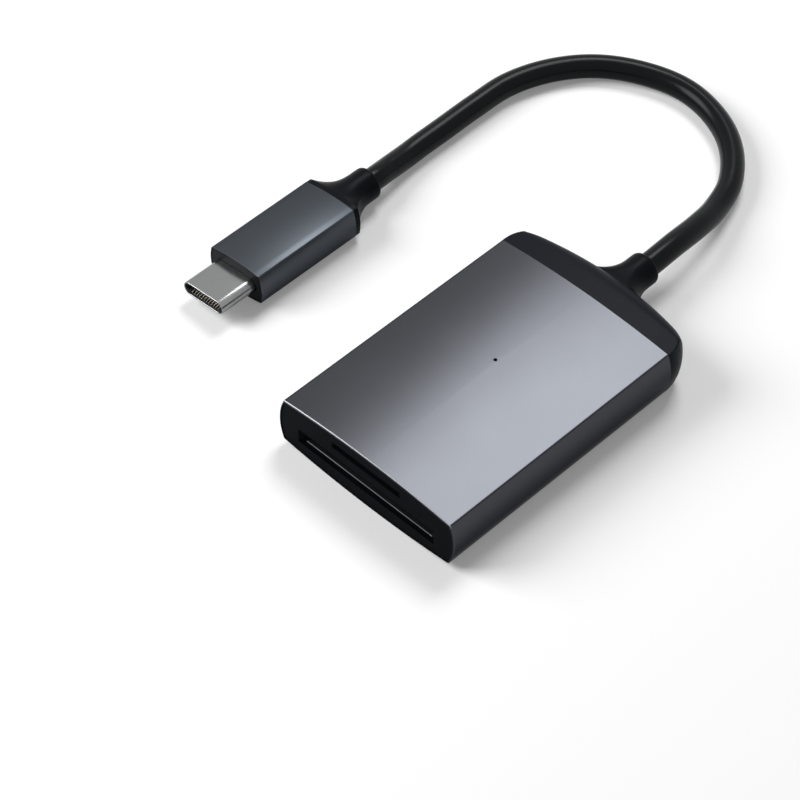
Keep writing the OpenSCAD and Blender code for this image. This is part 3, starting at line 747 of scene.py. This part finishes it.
class Bench:
    """Modelling steps that several pieces share."""

    @staticmethod
    def clear() -> None:
        """Leaves edit mode and deselects everything."""
        if bpy.context.object and bpy.context.object.mode != "OBJECT":
            bpy.ops.object.mode_set(mode="OBJECT")
        bpy.ops.object.select_all(action="DESELECT")

    @staticmethod
    def pick(piece: bpy.types.Object) -> None:
        """Selects one object only and makes it the active one."""
        Bench.clear()
        piece.select_set(True)
        bpy.context.view_layer.objects.active = piece

    @staticmethod
    def name(title: str) -> bpy.types.Object:
        """Names the active object and its mesh, and applies its place.

        Args:
            title: the piece's name.

        Returns:
            The piece.
        """
        piece = bpy.context.object
        piece.name = title
        piece.data.name = title
        bpy.ops.object.transform_apply(location=True, rotation=True, scale=True)
        return piece

    @staticmethod
    def put_ring(place: Ring) -> None:
        """Moves each selected vertex to the place that its angle in the ring gives."""
        mesh = bpy.context.edit_object.data
        model = bmesh.from_edit_mesh(mesh)
        ring = [v for v in model.verts if v.select]
        middle = sum((v.co for v in ring), Vector()) / len(ring)
        for v in ring:
            offset = v.co - middle
            v.co = place(math.atan2(offset.z, offset.x))
        bmesh.update_edit_mesh(mesh)

    @staticmethod
    def loft(title: str, count: int, rings: Sequence[Ring]) -> bpy.types.Object:
        """Extrudes a circle of edges from ring to ring along Y.

        The circle and each extruded step may have any size, as put_ring places them.

        Args:
            title: the piece's name.
            count: vertices in a ring.
            rings: for each ring, the place of a vertex at an angle in the XZ plane.

        Returns:
            A closed piece with a face at either end.
        """
        Bench.clear()
        bpy.ops.mesh.primitive_circle_add(
            vertices=count,
            radius=10 * MM,
            fill_type="NOTHING",
            location=(0, 0, 0),
            rotation=(math.radians(90), 0, 0),
        )
        piece = Bench.name(title)
        bpy.ops.object.mode_set(mode="EDIT")
        bpy.ops.mesh.select_mode(type="VERT")
        bpy.ops.mesh.select_all(action="SELECT")
        bpy.ops.mesh.edge_face_add()
        bpy.ops.mesh.select_all(action="SELECT")
        Bench.put_ring(rings[0])
        for ring in rings[1:]:
            bpy.ops.mesh.extrude_region_move(
                TRANSFORM_OT_translate={"value": (0, 1 * MM, 0)}
            )
            Bench.put_ring(ring)
        bpy.ops.mesh.select_all(action="SELECT")
        bpy.ops.mesh.normals_make_consistent(inside=False)
        bpy.ops.object.mode_set(mode="OBJECT")
        return piece

    @staticmethod
    def smooth(piece: bpy.types.Object, angle: float) -> None:
        """Shades a piece smooth up to an angle in degrees."""
        Bench.pick(piece)
        bpy.ops.object.shade_smooth_by_angle(angle=math.radians(angle))

    @staticmethod
    def modify(piece: bpy.types.Object, kind: str, **settings: object) -> None:
        """Adds a modifier with its settings and applies it."""
        Bench.pick(piece)
        made = piece.modifiers.new(kind.title(), kind)
        for name, value in settings.items():
            setattr(made, name, value)
        bpy.ops.object.modifier_apply(modifier=made.name)

    @staticmethod
    def copy_node(node: bpy.types.Object, title: str) -> bpy.types.Object:
        """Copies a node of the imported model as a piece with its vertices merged."""
        piece = node.copy()
        piece.data = node.data.copy()
        piece.parent = None
        for key in list(piece.keys()):
            del piece[key]
        bpy.context.scene.collection.objects.link(piece)
        piece.name = title
        piece.data.name = title
        Bench.pick(piece)
        bpy.ops.object.mode_set(mode="EDIT")
        bpy.ops.mesh.select_all(action="SELECT")
        bpy.ops.mesh.remove_doubles(threshold=0.001 * MM)
        bpy.ops.object.mode_set(mode="OBJECT")
        return piece


@dataclass(frozen=True)
class Pillow:
    """A section with four convex sides, about its own middle."""

    half_w: float
    half_h: float
    crown: float
    bulge: float

    @property
    def top_r(self) -> float:
        """Radius of the top and bottom arcs."""
        half = self.half_w - self.bulge
        return (half * half + self.crown**2) / (2 * self.crown)

    @property
    def side_r(self) -> float:
        """Radius of the two side arcs."""
        half = self.half_h - self.crown
        return (half * half + self.bulge**2) / (2 * self.bulge)

    def reach(self, angle: float) -> float:
        """Distance from the middle to the outline at an angle."""

        def to_circle(centre: float, r: float, share: float) -> float:
            return share * centre + math.sqrt(
                share * share * centre * centre + r * r - centre * centre
            )

        return min(
            to_circle(self.half_h - self.top_r, self.top_r, abs(math.sin(angle))),
            to_circle(self.half_w - self.side_r, self.side_r, abs(math.cos(angle))),
        )

    def half_at(self, x: float) -> float:
        """Half height of the section at x."""
        top = self.half_h - self.top_r + math.sqrt(self.top_r**2 - x * x)
        past = max(0.0, abs(x) - self.half_w + self.side_r)
        return min(top, math.sqrt(max(0.0, self.side_r**2 - past * past)))


def slot_ring(y: float, mid_z: float, w: float, h: float) -> Ring:
    """Gives the places on an outline with a straight top and two round ends.

    Args:
        y: where the outline lies.
        mid_z: height of its middle.
        w: its width.
        h: its height, and the diameter of its ends.

    Returns:
        The place at an angle round the middle.
    """
    r, flat = h / 2, (w - h) / 2

    def place(angle: float) -> Point:
        c, s = math.cos(angle), math.sin(angle)
        if r * abs(c) < flat * abs(s):
            reach = r / abs(s)
        else:
            k = abs(c)
            reach = k * flat + math.sqrt(
                max(0.0, k * k * flat * flat + r * r - flat * flat)
            )
        return (reach * c, y, mid_z + reach * s)

    return place


# -------------------------------------------------------------- sub-assemblies


@dataclass
class Housing:
    """The reader's body, of which the rear cap is modelled anew."""

    wardrobe: Wardrobe
    section: Pillow = Pillow(
        half_w=16.9 * MM, half_h=4.9 * MM, crown=0.9 * MM, bulge=0.9 * MM
    )
    joint_y: float = 18.55 * MM
    cap_l: float = 7.6 * MM
    cap_flat: float = 3.2 * MM
    back_r: float = 52 * MM
    corner_r: float = 6 * MM
    hole_w: float = 10.3 * MM
    hole_h: float = 5.9 * MM
    hole_start: float = 3 * MM
    hole_end: float = 10 * MM
    # The grid's steps across and around the cap, and how they are shared out: across
    # between top and sides, around between the back and the stretch by the joint.
    steps: tuple[int, int] = (96, 44)
    across_shares: tuple[float, float] = (0.8, 0.2)
    around_shares: tuple[float, float] = (0.7, 0.3)

    @property
    def corner(self) -> tuple[float, float]:
        """Middle of a back corner: its x, and its distance behind the joint."""
        x = self.section.half_w - self.corner_r
        y = (
            self.cap_l
            - self.back_r
            + math.sqrt((self.back_r - self.corner_r) ** 2 - x**2)
        )
        return x, y

    def back(self, x: float) -> float:
        """Distance of the cap's back edge behind the joint at x."""
        middle_x, middle_y = self.corner
        if abs(x) < middle_x * self.back_r / (self.back_r - self.corner_r):
            return self.cap_l - self.back_r + math.sqrt(self.back_r**2 - x * x)
        past = abs(x) - middle_x
        return middle_y + math.sqrt(max(0.0, self.corner_r**2 - past * past))

    def crest(self, x: float) -> float:
        """Distance of the cap's crest behind the joint at x."""
        middle_x, middle_y = self.corner
        if abs(x) < middle_x:
            return self.cap_flat
        past = abs(x) - middle_x
        r = self.corner_r - self.section.bulge
        fall = middle_y + math.sqrt(max(0.0, r * r - past * past))
        return max(0.0, min(self.cap_flat, fall))

    def wrap(self, u: float, w: float) -> Point:
        """Bends a point of a flat grid onto the skin of the cap.

        Args:
            u: place across, from -1 at the left side to 1 at the right.
            w: place around, from -1 at the joint below, over the back, to 1 above.

        Returns:
            The place on the cap.
        """
        section = self.section
        top, side = self.across_shares
        back, flat = self.around_shares
        if abs(u) <= top:
            edge = section.half_w - section.bulge
            x = edge * math.sin(u / top * math.pi / 2)
        else:
            bend = math.asin((section.half_h - section.crown) / section.side_r)
            turn = bend * (1 - (abs(u) - top) / side)
            x = math.copysign(
                section.half_w - section.side_r + section.side_r * math.cos(turn), u
            )
        half = section.half_at(x)
        crest = self.crest(x)
        if abs(w) > back:
            y, z = crest * (1 - (abs(w) - back) / flat), math.copysign(half, w)
        else:
            turn = w / back * math.pi / 2
            fall = self.back(x) - crest
            y, z = crest + fall * math.cos(turn), half * math.sin(turn)
        return (x, self.joint_y + y, section.half_h + z)

    def make_cap(self) -> bpy.types.Object:
        """Models the rear cap from a grid bent over its crest and round its corners."""
        across, around = self.steps
        Bench.clear()
        bpy.ops.mesh.primitive_grid_add(
            x_subdivisions=across, y_subdivisions=around, size=2.0, location=(0, 0, 0)
        )
        cap = Bench.name("rear_cap_form")
        for v in cap.data.vertices:
            v.co = self.wrap(v.co.x, v.co.y)
        bpy.ops.object.mode_set(mode="EDIT")
        bpy.ops.mesh.select_mode(type="VERT")
        bpy.ops.mesh.select_all(action="SELECT")
        bpy.ops.mesh.remove_doubles(threshold=0.002 * MM)
        bpy.ops.mesh.select_all(action="DESELECT")
        bpy.ops.mesh.select_non_manifold(extend=False)
        bpy.ops.mesh.edge_face_add()
        bpy.ops.mesh.select_all(action="SELECT")
        bpy.ops.mesh.normals_make_consistent(inside=False)
        bpy.ops.object.mode_set(mode="OBJECT")
        self.cut_hole(cap)
        Bench.smooth(cap, angle=28)
        self.wardrobe.dress_piece(cap, "cap_plastic")
        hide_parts("rear_cap")
        return cap

    def cut_hole(self, cap: bpy.types.Object) -> None:
        """Cuts the slot-shaped hole for the cable's relief through the cap."""
        rings = [
            slot_ring(self.joint_y + y, self.section.half_h, self.hole_w, self.hole_h)
            for y in (self.hole_start, self.hole_end)
        ]
        cutter = Bench.loft("relief_hole", count=64, rings=rings)
        Bench.modify(cap, "BOOLEAN", object=cutter, operation="DIFFERENCE")
        bpy.data.objects.remove(cutter)

    def dress(self) -> list[bpy.types.Object]:
        """Makes the housing's one piece."""
        return [self.make_cap()]


@dataclass
class CaptiveCable:
    """The cable with the moulded relief at the reader and the boot at the plug.

    Relief and boot both run from a root, by a flare in an arc, into a round collar
    whose free end is rounded off. The route is in millimetres, with y from exit_y.
    """

    wardrobe: Wardrobe
    diameter: float = 3.8 * MM
    joint_y: float = 18.55 * MM
    exit_y: float = 32.45 * MM
    mid_z: float = 4.9 * MM
    collar_d: float = 5.3 * MM
    collar_l: float = 2.2 * MM
    straight_end: float = 0.9 * MM
    round_l: float = 0.6 * MM
    round_d: float = 0.9 * MM
    flare_bend: float = 0.75
    flare_steps: int = 20
    root_w: float = 10.2 * MM
    root_h: float = 5.8 * MM
    root_start: float = 5 * MM
    root_end: float = 7 * MM
    boot_l: float = 8.3 * MM
    boot_root_l: float = 0.9 * MM
    plug_lean: float = 5.5
    plug: Pillow = Pillow(
        half_w=5.4 * MM, half_h=3 * MM, crown=0.4 * MM, bulge=0.45 * MM
    )
    route: tuple[Point, ...] = (
        (0, 0, 4.9),
        (-0.3, 6.6, 4.7),
        (-1, 12.6, 3.6),
        (-2.3, 18.6, 2.3),
        (-4.7, 25, 1.9),
        (-9.6, 30.8, 1.9),
        (-15.8, 34.3, 1.9),
        (-23, 35.5, 1.9),
        (-30.2, 33.6, 1.9),
        (-36.3, 29.6, 1.9),
        (-40.6, 23.8, 1.9),
        (-43, 16.8, 1.9),
        (-43.3, 9.4, 1.9),
        (-43.2, 2, 1.9),
        (-43.1, -4.6, 1.9),
        (-42.6, -10.3, 2.5),
        (-42.1, -14.9, 3.128),
    )

    def points(self) -> list[Vector]:
        """Route of the cable's middle line in the frame of the part."""
        return [
            Vector((x * MM, self.exit_y + y * MM, z * MM)) for x, y, z in self.route
        ]

    def make_jacket(self) -> bpy.types.Object:
        """Draws the cable as one open spline with a round section."""
        line = bpy.data.curves.new("cable_jacket", "CURVE")
        line.dimensions = "3D"
        line.bevel_depth = self.diameter / 2
        line.bevel_resolution = 10
        line.resolution_u = 14
        line.use_fill_caps = True
        spline = line.splines.new("BEZIER")
        points = self.points()
        last = len(points) - 1
        on_table = self.diameter / 2 + 0.01 * MM
        spline.bezier_points.add(last)
        for i, (knot, place) in enumerate(zip(spline.bezier_points, points)):
            before, after = points[max(0, i - 1)], points[min(last, i + 1)]
            along = after - before
            if place.z < on_table:
                along.z = 0.0
            along.normalize()
            if i == 0:
                along = Vector((0, 1, 0))
            if i == last:
                along = Vector((0, -1, 0))
            knot.co = place
            knot.handle_left_type = knot.handle_right_type = "FREE"
            knot.handle_left = place - along * (place - before).length / 3
            knot.handle_right = place + along * (after - place).length / 3
        jacket = bpy.data.objects.new("cable_jacket", line)
        bpy.context.scene.collection.objects.link(jacket)
        self.wardrobe.dress_piece(jacket, "cable_jacket")
        return jacket

    def collar(self, end_y: float) -> list[tuple[float, float]]:
        """Places and diameters of a collar that is rounded off at its free end."""
        straight = (self.collar_l, self.straight_end)
        steps = [(end_y - y, self.collar_d) for y in straight]
        for turn in range(15, 91, 15):
            a = math.radians(turn)
            steps.append(
                (
                    end_y - self.round_l + self.round_l * math.sin(a),
                    self.collar_d - self.round_d * (1 - math.cos(a)),
                )
            )
        return steps

    def flare(self, start: float, end: float) -> list[tuple[float, float]]:
        """Places from a root to its collar, each with its share of the spread."""
        full = 1 - math.sqrt(1 - self.flare_bend**2)
        steps = []
        for i in range(self.flare_steps):
            u = 1 - i / self.flare_steps
            share = (1 - math.sqrt(1 - (self.flare_bend * u) ** 2)) / full
            steps.append((start + (1 - u) * (end - start), share))
        return steps

    def make_relief(self) -> bpy.types.Object:
        """Models the relief that grows out of the cap and narrows to its collar."""

        def ring(y: float, w: float, h: float) -> Ring:
            return slot_ring(y, self.mid_z, w, h)

        d = self.collar_d
        collar = self.collar(self.exit_y)
        rings = [ring(self.joint_y + self.root_start, self.root_w, self.root_h)]
        for y, share in self.flare(self.joint_y + self.root_end, collar[0][0]):
            w, h = d + (self.root_w - d) * share, d + (self.root_h - d) * share
            rings.append(ring(y, w, h))
        rings += [ring(y, d, d) for y, d in collar]
        relief = Bench.loft("cable_relief_form", count=64, rings=rings)
        Bench.smooth(relief, angle=50)
        self.wardrobe.dress_piece(relief, "moulded_tpe")
        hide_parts("cable_strain_relief")
        return relief

    def make_boot(self) -> bpy.types.Object:
        """Models the boot that carries the plug's section over to its collar."""

        def ring(y: float, d: float, share: float) -> Ring:
            def place(angle: float) -> Point:
                r = d / 2 + (self.plug.reach(angle) - d / 2) * share
                return (r * math.cos(angle), y, r * math.sin(angle))

            return place

        collar = self.collar(0.0)
        rings = [ring(-self.boot_l, self.collar_d, 1.0)]
        for y, share in self.flare(self.boot_root_l - self.boot_l, collar[0][0]):
            rings.append(ring(y, self.collar_d, share))
        rings += [ring(y, d, 0.0) for y, d in collar]
        boot = Bench.loft("plug_boot_form", count=96, rings=rings)
        lean = Matrix.Rotation(math.radians(-self.plug_lean), 4, "Y")
        boot.data.transform(Matrix.Translation(self.points()[-1]) @ lean)
        Bench.smooth(boot, angle=25)
        self.wardrobe.dress_piece(boot, "moulded_tpe")
        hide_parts("plug_boot")
        return boot

    def dress(self, plug_pieces: Iterable[bpy.types.Object]) -> list[bpy.types.Object]:
        """Args:
            plug_pieces: the pieces and nodes of the plug at the far end; not used.

        Returns:
            The new pieces.
        """
        jacket, relief, boot = self.make_jacket(), self.make_relief(), self.make_boot()
        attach(jacket, "root")
        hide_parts("cable")
        tuple(self.points()[0])
        return [jacket, relief, boot]


@dataclass
class Plug:
    """The USB-C plug at the free end of the cable."""

    wardrobe: Wardrobe
    nodes: dict[str, bpy.types.Object]
    shell_edge: float = 0.09 * MM
    sleeve_edge: float = 0.07 * MM

    def round_edges(self, node: str, slot: str, width: float) -> bpy.types.Object:
        """Copies a node of the plug with its sharp edges rounded.

        Args:
            node: the node that the copy replaces.
            slot: the material slot of both.
            width: width of the rounding.

        Returns:
            The new piece.
        """
        piece = Bench.copy_node(self.nodes[node], f"{node}_form")
        Bench.modify(
            piece,
            "BEVEL",
            width=width,
            segments=3,
            limit_method="ANGLE",
            angle_limit=math.radians(50),
        )
        Bench.smooth(piece, angle=40)
        self.wardrobe.dress_piece(piece, slot)
        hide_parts(node)
        return piece

    def dress(self) -> list[bpy.types.Object]:
        """Makes the plug's pieces."""
        return [
            self.round_edges("usb_c_shell", "plug_steel", self.shell_edge),
            self.round_edges("plug_sleeve", "plug_aluminium", self.sleeve_edge),
        ]

    def parts(self) -> list[bpy.types.Object]:
        """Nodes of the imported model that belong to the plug."""
        names = (
            "plug_front_insert",
            "plug_inner_mould",
            "plug_board",
            "usb_c_insulator",
            "usb_c_contacts",
            "usb_c_latches",
        )
        return [self.nodes[name] for name in names]


# --------------------------------------------------------- camera and lighting


@dataclass(frozen=True)
class PhotoCamera:
    """The camera of the reference picture, solved from the straight edges.

    The three angles are in degrees. The camera looks at a point beside the origin,
    given to the right and upwards in the picture, and shifted along Y.
    """

    azimuth: float = 42.83
    elevation: float = 48.18
    roll: float = 1.899
    distance: float = 467.03 * MM
    aim_right: float = -10.626 * MM
    aim_up: float = 2.797 * MM
    shift_y: float = -3.8 * MM
    focal_px: float = 3287.15
    picture_px: float = 800.0
    sensor_mm: float = 36.0
    clip_start: float = 10 * MM

    def build(self) -> None:
        """Sets the scene's camera."""
        a, e, r = (
            math.radians(v) for v in (self.azimuth, self.elevation, self.roll)
        )
        back = Vector(
            (math.sin(a) * math.cos(e), -math.cos(a) * math.cos(e), math.sin(e))
        )
        right = Vector((math.cos(a), math.sin(a), 0.0))
        up = back.cross(right)
        right, up = (
            right * math.cos(r) + up * math.sin(r),
            -right * math.sin(r) + up * math.cos(r),
        )
        place = (
            right * self.aim_right
            + up * self.aim_up
            + back * self.distance
            + Vector((0, self.shift_y, 0))
        )
        lens = bpy.data.cameras.new("camera")
        lens.sensor_width = self.sensor_mm
        lens.sensor_fit = "HORIZONTAL"
        lens.lens = self.focal_px / self.picture_px * self.sensor_mm
        lens.clip_start = self.clip_start
        camera = bpy.data.objects.new("camera", lens)
        bpy.context.scene.collection.objects.link(camera)
        turn = Matrix((right, up, back)).transposed()
        camera.matrix_world = Matrix.Translation(place) @ turn.to_4x4()
        bpy.context.scene.camera = camera


@dataclass(frozen=True)
class Softbox:
    """A square white lamp that faces the origin."""

    name: str
    place: Point
    side: float
    power: float

    def build(self) -> None:
        """Adds the lamp to the scene."""
        lamp = bpy.data.lights.new(self.name, "AREA")
        lamp.shape = "SQUARE"
        lamp.size = self.side
        lamp.energy = self.power
        holder = bpy.data.objects.new(self.name, lamp)
        bpy.context.scene.collection.objects.link(holder)
        inwards = -Vector(self.place)
        holder.location = self.place
        holder.rotation_euler = inwards.to_track_quat("-Z", "Y").to_euler()


@dataclass(frozen=True)
class Studio:
    """The table, the surrounding light and the softboxes."""

    world_level: float = 0.15
    world_shown: float = 1.0
    floor_size: float = 6.0
    floor_colour: Colour = (0.85, 0.85, 0.855)
    floor_roughness: float = 0.9
    floor_specular: float = 0.1
    floor_glow: float = 0.185
    softboxes: tuple[Softbox, ...] = (
        Softbox("overhead", place=(-0.175, 0.34, 0.56), side=0.26, power=2.2),
        Softbox("left", place=(-0.46, -0.36, 0.42), side=0.4, power=4.6),
    )

    @staticmethod
    def seen(work: NodeWork) -> Socket:
        """Gives 1 for a ray from the camera, off gloss or through clear resin."""
        path = work.add("ShaderNodeLightPath", {})
        socket = path.outputs["Is Camera Ray"]
        for kind in ("Is Glossy Ray", "Is Transmission Ray"):
            socket = work.calculate("MAXIMUM", socket, path.outputs[kind])
        return socket

    def make_floor(self) -> None:
        """Lays the table, which shows white to the camera and keeps the shadows."""
        Bench.clear()
        bpy.ops.mesh.primitive_plane_add(size=self.floor_size, location=(0, 0, 0))
        floor = Bench.name("table")
        shader = Shader("Table white")
        shader.set(
            Base_Color=(*self.floor_colour, 1.0),
            Roughness=self.floor_roughness,
            Specular_IOR_Level=self.floor_specular,
        )
        level = shader.calculate("MULTIPLY", self.seen(shader), self.floor_glow)
        glow = shader.add("ShaderNodeEmission", {"Strength": level})
        both = shader.add(
            "ShaderNodeAddShader", {0: shader.bsdf.outputs[0], 1: glow.outputs[0]}
        )
        out = shader.tree.nodes["Material Output"]
        shader.tree.links.new(both.outputs[0], out.inputs["Surface"])
        floor.data.materials.append(shader.material)

    def make_world(self) -> None:
        """Fills the surroundings with even light and shows them white."""
        world = bpy.data.worlds.new("studio")
        world.use_nodes = True
        work = NodeWork(world.node_tree)
        level = work.add(
            "ShaderNodeMapRange",
            {
                "Value": self.seen(work),
                "To Min": self.world_level,
                "To Max": self.world_shown,
            },
        )
        back = work.tree.nodes["Background"]
        work.tree.links.new(level.outputs["Result"], back.inputs["Strength"])
        back.inputs["Color"].default_value = (1, 1, 1, 1)
        bpy.context.scene.world = world

    def build(self) -> None:
        """Sets up the floor, the world and the lamps."""
        self.make_floor()
        self.make_world()
        for box in self.softboxes:
            box.build()
        bpy.context.scene.view_settings.view_transform = "Standard"


def main() -> None:
    """Loads the frame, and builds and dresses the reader."""
    logging.basicConfig(level=logging.INFO, format="%(name)s: %(message)s")
    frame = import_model()
    nodes = frame["nodes"]
    PhotoCamera().build()
    Studio().build()
    wardrobe = Wardrobe(frame["record"])
    for node in nodes.values():
        wardrobe.dress_node(node)
    plug = Plug(wardrobe, nodes)
    pieces = plug.dress()
    pieces += CaptiveCable(wardrobe).dress([*pieces, *plug.parts()])
    pieces += Housing(wardrobe).dress()
    for piece in pieces:
        if "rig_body" not in piece:
            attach(piece, "root")
        log.info("%s: %s", piece.name, piece.get("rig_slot"))


if __name__ == "__main__":
    main()
